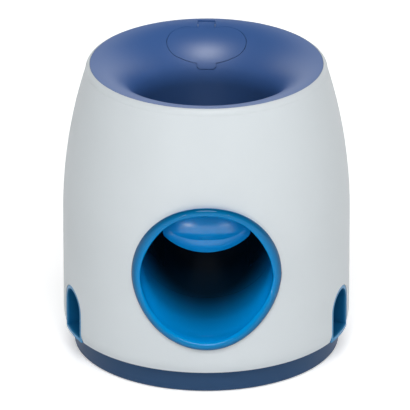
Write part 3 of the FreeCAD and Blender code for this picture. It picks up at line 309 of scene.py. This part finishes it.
# Mouth tube: bright blue gloss moulding, pushed in from the front. Its lip is a round roll that
# follows the shell's curve, and behind it the level oval turns into the sloping round chute.
SHELL_RADIUS = 0.0865
SHELL_SHOULDER_Z = 0.085
SHELL_SHOULDER_ARC = 0.280149
OVAL_HEIGHT = 0.0769
OVAL_HALF_WIDTH = 0.0397
OVAL_HALF_HEIGHT = 0.0410
LIP_WIDTH = 0.0052
LIP_RISE = 0.0025
LIP_FOOT = SHELL_RADIUS + 0.0001
LIP_SUNK = 0.0003
FOOT_LEAN = 0.5
DRAW_ANGLE = np.radians(62.0)
DRAW_TURNS = 2.2
DRAW_AT_FOOT = 0.0006
DRAW_INWARDS = 0.0004
TUBE_WALL = 0.0028
NECK_SUNK = 0.0004
PAST_LIP = 0.0006
LEVEL_END = -0.080
BLEND_LENGTH = 0.014
CHUTE_SLOPE = math.radians(16.0)
CHUTE_HEIGHT = 0.0764
CHUTE_BORE = 0.039
CHUTE_OUTSIDE = 0.041
FIT_GAP = 0.0003
TUBE_LENGTH = 0.030
AROUND = 256
ROLL_STEPS = 23
WALL_STEPS = 14
RING_CROWDING = 1.3
LAST_RING_BUT_ONE = 0.985


def surface_mesh(name, points, ends=None):
    """Closed mesh over a grid whose rows are rings of points. Each ring is joined to the next by
    four-cornered faces, and the last to the first, or, with two end points given, each end ring
    to its point by a fan of triangles."""
    rings, count, _ = points.shape
    ring, step = np.meshgrid(np.arange(rings if ends is None else rings - 1), np.arange(count),
                             indexing="ij")
    row = ring * count
    next_row = (ring + 1) % rings * count
    beside = (step + 1) % count
    corners = np.stack([row + step, next_row + step, next_row + beside, row + beside],
                       axis=-1).reshape(-1)
    starts = np.arange(0, corners.size, 4)
    places = points.reshape(-1, 3)
    if ends is not None:
        here = np.arange(count)
        beside = (here + 1) % count
        last_row = (rings - 1) * count
        end_point = np.full(count, rings * count)
        fans = np.concatenate([
            np.stack([end_point, here, beside], axis=-1),
            np.stack([end_point + 1, last_row + beside, last_row + here], axis=-1)]).reshape(-1)
        starts = np.concatenate([starts, corners.size + np.arange(0, fans.size, 3)])
        corners = np.concatenate([corners, fans])
        places = np.concatenate([places, np.array(ends)])
    mesh = bpy.data.meshes.new(name)
    mesh.vertices.add(len(places))
    mesh.vertices.foreach_set("co", places.astype(np.float32).reshape(-1))
    mesh.loops.add(corners.size)
    mesh.loops.foreach_set("vertex_index", corners.astype(np.int32))
    mesh.polygons.add(starts.size)
    mesh.polygons.foreach_set("loop_start", starts.astype(np.int32))
    mesh.polygons.foreach_set("use_smooth", np.ones(starts.size, bool))
    mesh.update(calc_edges=True)
    mesh.validate()
    return mesh


def oval(grow, angle):
    """x and z on the mouth's oval: its half axes, grown by an offset, times cosine and sine."""
    x = (OVAL_HALF_WIDTH + grow) * np.cos(angle)
    z = OVAL_HEIGHT + (OVAL_HALF_HEIGHT + grow) * np.sin(angle)
    return x, z


def on_shell(rise, x, z):
    """y on the shell's front, raised by rise: a cylinder to the shoulder and an arc above it."""
    above = np.maximum(z - SHELL_SHOULDER_Z, 0.0)
    drop = np.sqrt(SHELL_SHOULDER_ARC ** 2 - above ** 2)
    radius = SHELL_RADIUS - SHELL_SHOULDER_ARC + drop + rise
    return -np.sqrt(radius ** 2 - x ** 2)


def lip_roll(angle, steps):
    """Round roll over the lip: half a circle, LIP_WIDTH across and LIP_RISE high, from its foot to
    the inner edge, with a side that leans in from the foot to the shell. A squared cosine of the
    angle from the top draws the oval in at both upper shoulders and at the lower right, and more
    so towards the inner edge."""
    from_top = np.abs(angle - np.pi / 2)
    drawn = np.clip(np.cos((from_top - DRAW_ANGLE) * DRAW_TURNS), 0.0, 1.0) ** 2
    foot_x, foot_z = oval(LIP_WIDTH - drawn * DRAW_AT_FOOT, angle)
    stand_off = on_shell(0.0, foot_x, foot_z) + np.sqrt(LIP_FOOT ** 2 - foot_x ** 2)
    side_x, side_z = oval(LIP_WIDTH - (drawn * DRAW_AT_FOOT + FOOT_LEAN * stand_off), angle)
    rings = [np.stack([side_x, on_shell(-LIP_SUNK, side_x, side_z), side_z], axis=-1)]
    for turn in np.linspace(0.0, np.pi, steps):
        inwards = drawn * (DRAW_AT_FOOT + DRAW_INWARDS * (1.0 - math.cos(turn)))
        x, z = oval(LIP_WIDTH * (1.0 + math.cos(turn)) / 2.0 - inwards, angle)
        y = -np.sqrt((LIP_FOOT + LIP_RISE * math.sin(turn)) ** 2 - x ** 2)
        rings.append(np.stack([x, y, z], axis=-1))
    return rings


def tube_side(angle, grow, radius, level_start, steps):
    """Wall behind the lip: level as far as LEVEL_END, or at the sides just past the lip, then at
    each y a mix of the level oval and the upright section of the sloping chute. The mix goes up by
    3t squared less 2t cubed over BLEND_LENGTH, and the wall ends in a plane square to the chute."""
    level_x, level_z = oval(grow, angle)
    lift = radius * np.sin(angle)
    start = np.maximum(LEVEL_END, level_start + PAST_LIP)
    end = -SHELL_RADIUS + TUBE_LENGTH * math.cos(CHUTE_SLOPE) - lift * math.sin(CHUTE_SLOPE)
    rings = [np.stack([level_x, level_start, level_z], axis=-1)]
    crowded = np.linspace(0.0, 1.0, steps) ** RING_CROWDING * LAST_RING_BUT_ONE
    for share in np.append(crowded, 1.0):
        y = start + (end - start) * share
        mix = np.clip((y - start) / BLEND_LENGTH, 0.0, 1.0)
        mix = mix * mix * (3.0 - 2.0 * mix)
        axis = CHUTE_HEIGHT + (y + SHELL_RADIUS) * math.tan(CHUTE_SLOPE)
        x = level_x + (radius * np.cos(angle) - level_x) * mix
        z = level_z + (axis + lift / math.cos(CHUTE_SLOPE) - level_z) * mix
        rings.append(np.stack([x, y, z], axis=-1))
    return rings


around = np.linspace(0.0, 2.0 * np.pi, AROUND, endpoint=False)
roll = lip_roll(around, ROLL_STEPS)
inside = tube_side(around, 0.0, CHUTE_BORE, roll[-1][:, 1] + PAST_LIP, WALL_STEPS)
neck_x, neck_z = oval(TUBE_WALL, around)
neck_y = on_shell(-NECK_SUNK, neck_x, neck_z)
outside = tube_side(around, TUBE_WALL, CHUTE_OUTSIDE - FIT_GAP, neck_y, WALL_STEPS)
tube_mesh = surface_mesh("bright_mouth_tube", np.array(outside[::-1] + roll + inside))
ROLL_ATTRIBUTE = "place_on_roll"
on_roll = np.concatenate([np.zeros(len(outside) + 1), np.linspace(0.0, 1.0, len(roll) - 1),
                          np.ones(len(inside))])
roll_values = tube_mesh.attributes.new(ROLL_ATTRIBUTE, "FLOAT", "POINT")
roll_values.data.foreach_set("value", np.repeat(on_roll, AROUND).astype(np.float32))
mouth_tube = bpy.data.objects.new("bright_mouth_tube", tube_mesh)
scene.collection.objects.link(mouth_tube)
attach(mouth_tube, "housing")
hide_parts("mouth_tube")

# Painted shade: the bore's blue is darkened to nearly black with the depth behind the mouth.
BORE_BLUE = (0.0, 0.33, 0.82)
BORE_PAINTED_SHADE = (0.001, 0.011, 0.024)
BORE_OPEN_END = 0.0855
BORE_DEEP_END = 0.043
BORE_POWER = 1.8
BORE_SIDEWAYS = 1.15
# Painted shade: the lip's roll darkens from the crest's blue to a dark blue at its foot.
CREST_BLUE = (0.0, 0.3, 0.73)
FOOT_PAINTED_SHADE = (0.0, 0.08, 0.19)
CREST_ON_ROLL = 0.92
FOOT_ON_ROLL = 0.16
ROLL_OUTER_RADIUS = SHELL_RADIUS + 0.4 * LIP_RISE
ROLL_INNER_RADIUS = SHELL_RADIUS - 0.002
GLOSS_GRAIN = 0.000002


def painted_shade_fall():
    """Group for painted shade in a deep moulding: a mix from the dark colour, painted shade, at the
    deep end to the given one at the open end, by a power of the place's share of the way between
    them."""
    group, given, result = shader_group(
        "painted_shade_fall", {"Color": "Color", "Dark": "Color", "Place": "Float",
                          "Open End": "Float", "Deep End": "Float", "Power": "Float"},
        {"Color": "Color"})
    share = group.nodes.new("ShaderNodeMapRange")
    for label, name in (("Place", "Value"), ("Deep End", "From Min"), ("Open End", "From Max")):
        feed(group, given.outputs[label], share.inputs[name])
    shaped = combined(group, "POWER", share.outputs["Result"], given.outputs["Power"])
    mix = group.nodes.new("ShaderNodeMix")
    mix.data_type = "RGBA"
    feed(group, shaped, mix.inputs["Factor"])
    feed(group, given.outputs["Dark"], mix.inputs["A"])
    feed(group, given.outputs["Color"], mix.inputs["B"])
    feed(group, mix.outputs["Result"], result.inputs["Color"])
    return group


PAINTED_SHADE_FALL = painted_shade_fall()


def faded(tree, color, dark, place, open_end, deep_end, power=1.0):
    """Colour with painted shade from the group above, at a place between the open and the deep end.
    """
    fall = placed(tree, PAINTED_SHADE_FALL, {"Color": color, "Dark": dark, "Place": place,
                                        "Open End": open_end, "Deep End": deep_end,
                                        "Power": power})
    return fall.outputs["Color"]


def from_axis(tree, sideways=1.0):
    """Distance from the toy's upright axis: the root of x squared plus y squared, with x counted
    so many times its length."""
    x, y, _ = split(tree, coordinates(tree, "Object"))
    x_squared = combined(tree, "MULTIPLY", combined(tree, "MULTIPLY", x, x), sideways ** 2)
    y_squared = combined(tree, "MULTIPLY", y, y)
    return combined(tree, "SQRT", combined(tree, "ADD", x_squared, y_squared), 0.0)


def bore_colors_with_painted_shade(tree):
    """Blue of the bore, with painted shade that takes it to nearly black with the depth behind the
    mouth.
    """
    return faded(tree, BORE_BLUE, BORE_PAINTED_SHADE, from_axis(tree, BORE_SIDEWAYS), BORE_OPEN_END,
                 BORE_DEEP_END, BORE_POWER)


def tube_colors(tree):
    """Blue of the tube: on the roll, from painted shade at the foot to the crest by the roll's
    attribute, and behind it the bore's blue with its painted shade, mixed by the distance from the
    toy's axis."""
    on_roll = tree.nodes.new("ShaderNodeAttribute")
    on_roll.attribute_name = ROLL_ATTRIBUTE
    lip = faded(tree, CREST_BLUE, FOOT_PAINTED_SHADE, on_roll.outputs["Fac"], CREST_ON_ROLL, FOOT_ON_ROLL)
    return faded(tree, lip, bore_colors_with_painted_shade(tree), from_axis(tree), ROLL_OUTER_RADIUS,
                 ROLL_INNER_RADIUS)


tube_blue = moulded("tube_blue", tube_colors, 0.04, shine=0.18, drift=0.04, grain_depth=GLOSS_GRAIN)
mouth_tube.data.materials.append(tube_blue)


# Chute elbow: sloping pipe, shaft and funnel socket in one moulding of the tube's blue. Its sleeve
# slides over the mouth tube's end, and it stands on three legs that are screwed to the base. Only
# its smooth bore is seen, through the mouth.
SMOOTH_GRAIN = 0.000004
# Painted shade: the elbow's blue is darkened to nearly black with the depth behind the mouth.
elbow_blue = moulded("elbow_blue", bore_colors_with_painted_shade, 0.2, shine=0.1, drift=0.05,
                     grain_depth=SMOOTH_GRAIN)
finish_nodes(elbow_blue, "chute_elbow")


# Trigger flap: glossy blue plate moulded in one with the barrel that it hangs from, and pressed
# on the steel axle. Its front is a low pillow with a crown, which the ball pushes, and a small
# ledge below the crown.
FLAP_FRONT = -0.0495
FLAP_BACK = -0.0470
FLAP_TOP = 0.120
FLAP_BOTTOM = 0.0774
CORNER_X = 0.0267
CORNER_Z = 0.0896
SHOULDER_X = 0.0203
SHOULDER_Z = 0.1115
SIDE_BOW = 0.0006
EDGE_ROUND = 0.00124
PILLOW_RISE = 0.0034
PILLOW_REACH = 0.017
PILLOW_POWER = 0.8
CROWN_Z = 0.0952
CROWN_HALF_WIDTH = 0.0225
CROWN_HALF_BELOW = 0.0082
CROWN_HALF_ABOVE = 0.0092
CROWN_RISE = 0.0029
CROWN_POWER = 1.1
LEDGE_Z = 0.0825
LEDGE_RISE = 0.0010
LEDGE_HALF_WIDTH = 0.008
LEDGE_HALF_HEIGHT = 0.0030
BARREL_HALF = 0.014
BARREL_RADIUS = 0.0040
BARREL_BORE = 0.00152
BARREL_ROUND = 0.0005
BARREL_CUT = 0.3
PLATE_AROUND = 192
BARREL_AROUND = 48
ARC_STEPS = 60
MEAN_REACH = 3
EDGE_SLANT = 0.86
FRONT_SHARES = np.concatenate([np.linspace(0.02, 0.7, 26), np.linspace(0.71, 1.0, 22)])
EDGE_TURNS = np.linspace(0.0, np.pi, 9)[1:]
BACK_SHARES = (0.6, 0.2)


def flap_outline(count):
    """Outline in x and z at even steps: an arc below, slightly bowed sides up to the shoulders and
    a level top, with the corners rounded by a running mean along the closed line."""
    sagitta = CORNER_Z - FLAP_BOTTOM
    radius = (CORNER_X ** 2 + sagitta ** 2) / (2.0 * sagitta)
    reach = math.asin(CORNER_X / radius)
    turn = np.linspace(-reach, reach, ARC_STEPS)
    below = np.stack([radius * np.sin(turn), FLAP_BOTTOM + radius * (1.0 - np.cos(turn))], axis=-1)
    side = [(CORNER_X + SHOULDER_X) / 2 + SIDE_BOW, (CORNER_Z + SHOULDER_Z) / 2]
    right = np.array([[CORNER_X, CORNER_Z], side, [SHOULDER_X, SHOULDER_Z],
                      [BARREL_HALF, FLAP_TOP]])
    left = right[::-1] * np.array([-1.0, 1.0])
    line = np.concatenate([below, right[1:], left, below[:1]])
    length = np.concatenate([[0.0], np.cumsum(np.hypot(*np.diff(line, axis=0).T))])
    even = np.linspace(0.0, length[-1], count, endpoint=False)
    spaced = np.stack([np.interp(even, length, values) for values in line.T], axis=-1)
    shifts = range(-MEAN_REACH, MEAN_REACH + 1)
    return np.mean([np.roll(spaced, shift, axis=0) for shift in shifts], axis=0)


def flap_front(x, z, edge_distance):
    """y of the front: the plate's face, less a pillow that rounds over from the edge, a crown that
    falls off as a power of one less the squared distance, and a bell-shaped ledge."""
    inward = np.clip(edge_distance / PILLOW_REACH, 0.0, 1.0)
    pillow = PILLOW_RISE * (1.0 - (1.0 - inward) ** 2) ** PILLOW_POWER
    half_height = np.where(z < CROWN_Z, CROWN_HALF_BELOW, CROWN_HALF_ABOVE)
    square = (x / CROWN_HALF_WIDTH) ** 2 + ((z - CROWN_Z) / half_height) ** 2
    crown = CROWN_RISE * np.clip(1.0 - square, 0.0, 1.0) ** CROWN_POWER
    ledge = LEDGE_RISE * np.exp(-(x / LEDGE_HALF_WIDTH) ** 2
                                - ((z - LEDGE_Z) / LEDGE_HALF_HEIGHT) ** 2)
    return FLAP_FRONT - pillow - crown - ledge * inward


def flap_rings(count):
    """Rings of the plate: shares of the outline from the middle of the front out to the edge, half
    an ellipse round the edge, and shares of the outline back in behind."""
    outline = flap_outline(count)
    along = np.roll(outline, -1, axis=0) - np.roll(outline, 1, axis=0)
    along /= np.hypot(along[:, 0], along[:, 1])[:, None]
    outward = np.stack([along[:, 1], -along[:, 0]], axis=-1)
    drawn_in = outline - outward * EDGE_ROUND
    middle = np.array([0.0, CROWN_Z])
    half = (FLAP_BACK - FLAP_FRONT) / 2.0
    rings = []
    for share in FRONT_SHARES:
        flat = middle + (drawn_in - middle) * share
        edge_distance = np.hypot(*(drawn_in - flat).T) * EDGE_SLANT
        rings.append((flat, flap_front(flat[:, 0], flat[:, 1], edge_distance)))
    for turn in EDGE_TURNS:
        rings.append((drawn_in + outward * EDGE_ROUND * math.sin(turn),
                      np.full(count, FLAP_FRONT + half - half * math.cos(turn))))
    for share in BACK_SHARES:
        rings.append((middle + (drawn_in - middle) * share, np.full(count, FLAP_BACK)))
    return np.array([np.stack([flat[:, 0], y, flat[:, 1]], axis=-1) for flat, y in rings])


def barrel_rings(count):
    """Rings of the barrel, a closed loop round its wall: along the outside, over a rounded end,
    back along the bore and over the other end."""
    cut = BARREL_CUT * BARREL_ROUND
    end = [(BARREL_HALF - BARREL_ROUND, BARREL_RADIUS), (BARREL_HALF - cut, BARREL_RADIUS - cut),
           (BARREL_HALF, BARREL_RADIUS - BARREL_ROUND), (BARREL_HALF, BARREL_BORE)]
    other_end = [(-x, radius) for x, radius in end]
    turn = np.linspace(0.0, 2.0 * np.pi, count, endpoint=False)
    rings = []
    for x, radius in other_end[:1] + end + other_end[:0:-1]:
        rings.append(np.stack([np.full(count, x), FLAP_BACK + radius * np.cos(turn),
                               FLAP_TOP + radius * np.sin(turn)], axis=-1))
    return np.array(rings)


def joined(name, *meshes):
    """One mesh from several closed ones, kept apart inside it."""
    parts = bmesh.new()
    for mesh in meshes:
        parts.from_mesh(mesh)
    whole = bpy.data.meshes.new(name)
    bmesh.ops.recalc_face_normals(parts, faces=parts.faces)
    parts.to_mesh(whole)
    parts.free()
    return whole


CROWN_FRONT = FLAP_FRONT - PILLOW_RISE - CROWN_RISE
plate = surface_mesh("flap_plate", flap_rings(PLATE_AROUND),
                     ends=[(0.0, CROWN_FRONT, CROWN_Z), (0.0, FLAP_BACK, CROWN_Z)])
barrel = surface_mesh("flap_barrel", barrel_rings(BARREL_AROUND))
flap = bpy.data.objects.new("domed_trigger_flap", joined("domed_trigger_flap", plate, barrel))
scene.collection.objects.link(flap)
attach(flap, "flap")
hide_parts("trigger_flap")
flap_blue = moulded("flap_blue", (0.0, 0.33, 0.8), 0.26, shine=0.75, drift=0.04,
                    grain_depth=GLOSS_GRAIN)
flap.data.materials.append(flap_blue)


# Funnel and lid: two dark blue polypropylene mouldings, smoother than the shell. The funnel snaps
# under the shell's rim with three hooks, and the lid hangs on a steel pin at its back.
DISH_NAVY = (0.038, 0.118, 0.352)
# Painted shade: the navy darkens with the depth in the throat.
THROAT_PAINTED_SHADE = (0.024, 0.07, 0.2)
DISH_FOOT_Z = 0.162
THROAT_DARK_Z = 0.148


def dish_colors(tree):
    """Navy of the dish, with painted shade that darkens it with the depth in the throat."""
    height = split(tree, coordinates(tree, "Object"))[2]
    return faded(tree, DISH_NAVY, THROAT_PAINTED_SHADE, height, DISH_FOOT_Z, THROAT_DARK_Z)


navy_plastic = moulded("navy_plastic", dish_colors, 0.44, shine=1.0, grain_depth=SMOOTH_GRAIN)
finish_nodes(navy_plastic, "top_funnel", "treat_lid")


# Treat way: hopper, drum, slides and splitter, mouldings in a plain blue. The hopper is screwed to
# the drum's housing and to the elbow, the drum is pressed on its axle, and the slides stand on
# legs that are screwed to the base, with the splitter on the ridge between them.
inner_blue = moulded("inner_blue", (0.006, 0.13, 0.36), 0.25, drift=0.04, grain_depth=SMOOTH_GRAIN)
finish_nodes(inner_blue, "dosing_drum", "treat_hopper", "right_treat_slide", "left_treat_slide",
             "treat_splitter")


# Outlet frames: two bright blue arches, one moulding each, that line the shell's notches from
# inside. Each stands in a notch of the base and has a flange behind the shell's wall.
# Painted light: the paler edge is a painted highlight on the arch's blue, and the darker blue
# inside is painted shade.
ARCH_EDGE_HIGHLIGHT_BLUE = (0.06, 0.3, 0.56)
ARCH_INNER_SHADE_BLUE = (0.006, 0.11, 0.27)
ARCH_EDGE_RADIUS = 0.0866
ARCH_INNER_RADIUS = 0.0845


def arch_colors(tree):
    """Blue of an arch, with a painted highlight on its edge in the shell's face and painted shade
    inside.
    """
    return faded(tree, ARCH_EDGE_HIGHLIGHT_BLUE, ARCH_INNER_SHADE_BLUE, from_axis(tree), ARCH_EDGE_RADIUS,
                 ARCH_INNER_RADIUS)


outlet_blue = moulded("outlet_blue", arch_colors, 0.3, shine=0.15, drift=0.04,
                      grain_depth=SMOOTH_GRAIN)
finish_nodes(outlet_blue, "right_outlet_frame", "left_outlet_frame")


# Base and drum housing: dark blue mouldings with a satin face. The base carries the shell on its
# spigot, with every foot screwed down from below, and the housing hangs under the hopper's flange.
base_plastic = moulded("base_plastic", (0.027, 0.07, 0.155), 0.45, shine=0.12)
finish_nodes(base_plastic, "base_plate", "drum_housing")


# Ring: black rubber that keeps the toy from sliding, pressed in a groove under the base, with the
# coarse matt face of a rubber mould.
RUBBER_GRAIN = 0.00005
ring_rubber = moulded("ring_rubber", (0.02, 0.02, 0.022), 0.8, grain_depth=RUBBER_GRAIN)
finish_nodes(ring_rubber, "anti_slip_ring")


# Cranks, link and bushes: natural nylon, which runs on steel without oil. The bushes are pressed
# in the walls of the elbow and the housing, the cranks on the axles' ends, and the link's eyes
# turn on the cranks' pegs.
nylon = moulded("nylon", (0.62, 0.6, 0.54), 0.45)
finish_nodes(nylon, "flap_crank", "drum_crank", "link_rod", "flap_axle_bushes", "drum_axle_bushes")


# Axles, pins, rings and screws: bright zinc-plated steel. Open retaining rings hold the axles and
# the link in place, and the pin of the lid is a press fit in the funnel's two ears.
steel = moulded("steel", (0.55, 0.55, 0.56), 0.3)
steel.node_tree.nodes["Principled BSDF"].inputs["Metallic"].default_value = 1.0
finish_nodes(steel, "lid_hinge_pin", "flap_axle", "flap_axle_clip", "flap_peg_clip", "drum_axle",
             "drum_axle_clip", "drum_peg_clip", "base_screws", "chute_screws", "slide_screws",
             "hopper_screws", "bracket_screws")
